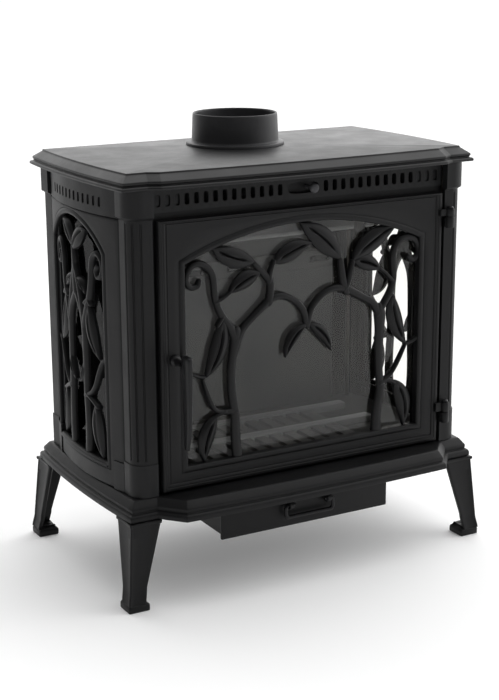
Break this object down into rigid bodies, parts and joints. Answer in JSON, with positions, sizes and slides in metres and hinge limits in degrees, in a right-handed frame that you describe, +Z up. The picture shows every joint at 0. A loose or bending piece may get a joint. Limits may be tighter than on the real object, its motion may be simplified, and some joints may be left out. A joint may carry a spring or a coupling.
{
  "type": "wood burning stove",
  "caption": "Free-standing cast-iron wood stove on cabriole legs, with a glazed tree-pattern door, side windows, air slider and ash drawer.",
  "frame": {"origin": "on the floor, at the middle of the whole stove's plan box", "axes": "+Z up; -Y is the front, with the door; +X is the side that carries the door hinges"},
  "size_m": [0.7116, 0.4584, 0.772],
  "materials": {
    "cast_iron": "matt black stove paint on cast iron",
    "fire_plate": "bare grey casting, as cast",
    "dark_steel": "satin black",
    "steel": "machined",
    "glass": "clear glass-ceramic",
    "rope": "woven glass-fibre rope and tape"
  },
  "bodies": {
    "stove": {"base_plate": "cast_iron", "leg_front_left": "cast_iron", "leg_front_right": "cast_iron", "leg_rear_left": "cast_iron", "leg_rear_right": "cast_iron", "column_front_left": "cast_iron", "column_front_right": "cast_iron", "column_rear_left": "cast_iron", "column_rear_right": "cast_iron", "front_frame": "cast_iron", "rear_panel": "cast_iron", "side_panel_left": "cast_iron", "side_panel_right": "cast_iron", "side_grille_left": "cast_iron", "side_grille_right": "cast_iron", "top_plate": "cast_iron", "flue_collar": "cast_iron", "hinge_block_upper": "cast_iron", "hinge_block_lower": "cast_iron", "tie_rod_front_left": "steel", "tie_rod_front_right": "steel", "tie_rod_rear_left": "steel", "tie_rod_rear_right": "steel", "hinge_pin_upper": "steel", "hinge_pin_lower": "steel", "side_glass_frame_left": "dark_steel", "side_glass_frame_right": "dark_steel", "air_guide_upper": "dark_steel", "air_guide_lower": "dark_steel", "baffle_hanger_left": "dark_steel", "baffle_hanger_right": "dark_steel", "air_bar_bolts_1": "dark_steel", "air_bar_bolts_2": "dark_steel", "air_bar_bolts_3": "dark_steel", "air_bar_bolts_4": "dark_steel", "ash_box": "dark_steel", "side_glass_left": "glass", "side_glass_right": "glass", "fireback": "fire_plate", "air_bar": "fire_plate", "baffle_plate": "fire_plate", "grate": "fire_plate", "log_retainer": "fire_plate"},
    "door": {"door_frame": "cast_iron", "door_grille": "cast_iron", "door_rope": "rope", "door_glass": "glass", "door_glass_tape": "rope", "door_glass_frame": "dark_steel"},
    "latch": {"latch_spindle": "dark_steel", "latch_grip": "cast_iron", "latch_tongue": "dark_steel"},
    "air_slider": {"air_slider": "dark_steel", "air_knob": "dark_steel"},
    "ash_drawer": {"ash_drawer": "cast_iron", "drawer_eye_left": "cast_iron", "drawer_eye_right": "cast_iron"},
    "drawer_bail": {"drawer_bail": "dark_steel"}
  },
  "joints": [
    {"name": "door_hinge", "type": "hinge", "parent": "stove", "child": "door", "pos_m": [0.288, -0.1756, 0.413], "axis": [0, 0, 1], "range_deg": [0, 110]},
    {"name": "latch_turn", "type": "hinge", "parent": "door", "child": "latch", "pos_m": [-0.25, -0.1711, 0.41], "axis": [0, 1, 0], "range_deg": [0, 50]},
    {"name": "air_slide", "type": "slide", "parent": "stove", "child": "air_slider", "axis": [1, 0, 0], "range_m": [-0.036, 0.012]},
    {"name": "ash_drawer_slide", "type": "slide", "parent": "stove", "child": "ash_drawer", "axis": [0, -1, 0], "range_m": [0, 0.28]},
    {"name": "drawer_bail_swing", "type": "hinge", "parent": "ash_drawer", "child": "drawer_bail", "pos_m": [0, -0.1801, 0.125], "axis": [-1, 0, 0], "range_deg": [0, 95]}
  ]
}
